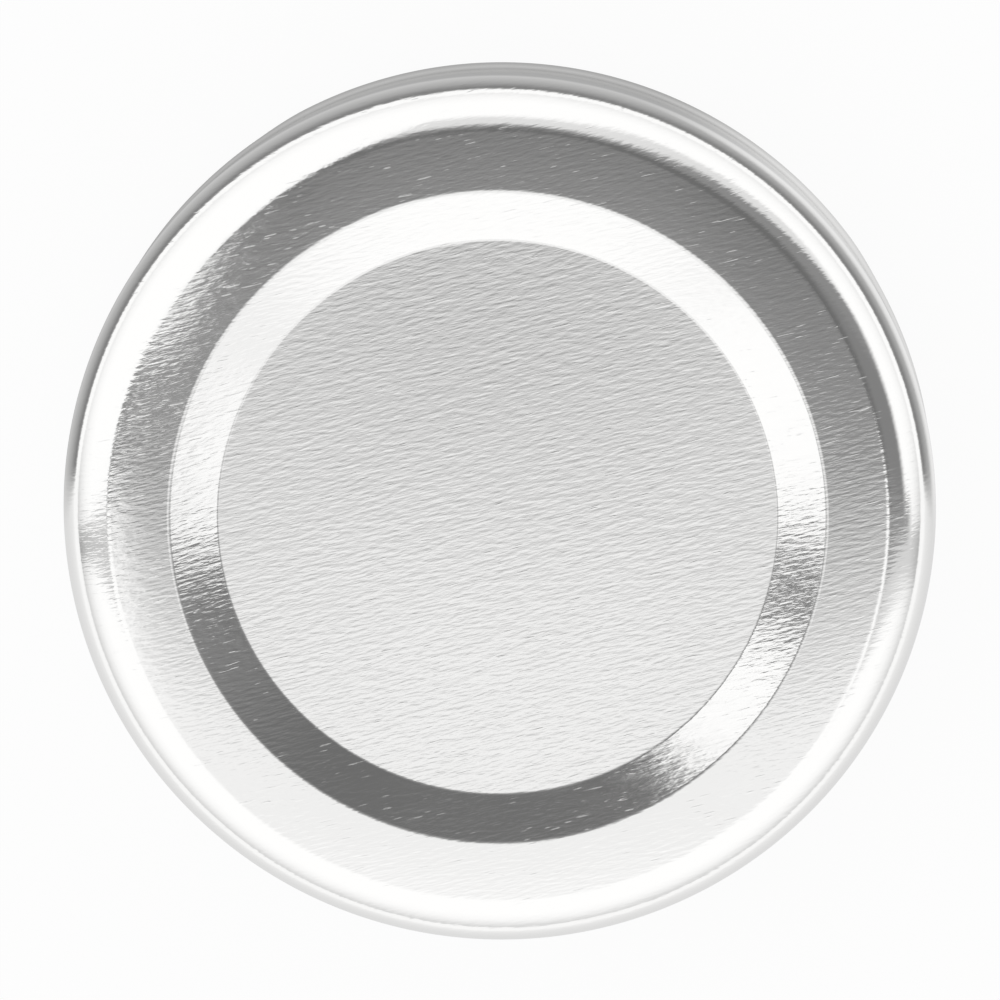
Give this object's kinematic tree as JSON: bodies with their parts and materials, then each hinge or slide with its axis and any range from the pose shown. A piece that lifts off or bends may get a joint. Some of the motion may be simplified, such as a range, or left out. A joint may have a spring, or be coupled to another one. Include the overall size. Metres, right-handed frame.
{
  "type": "twist-off jar lid",
  "caption": "Round pressed tinplate lid for a small glass jar, with a recessed centre panel, rounded shoulder, rolled edge, inward lugs and a sealing ring in the channel underneath.",
  "frame": {"origin": "on the lid's axis, at the lowest point of the rolled edge that the lid rests on", "axes": "+Z along the lid's axis, out of the centre panel; the first lug's middle is 17 degrees from +X towards +Y"},
  "size_m": [0.0456, 0.0455, 0.0105],
  "materials": {
    "tinplate": "bright tinplate with a fine one-way grain",
    "compound": "soft off-white sealing compound, satin"
  },
  "bodies": {
    "root": {"lid_shell": "tinplate", "sealing_ring": "compound"}
  },
  "joints": []
}
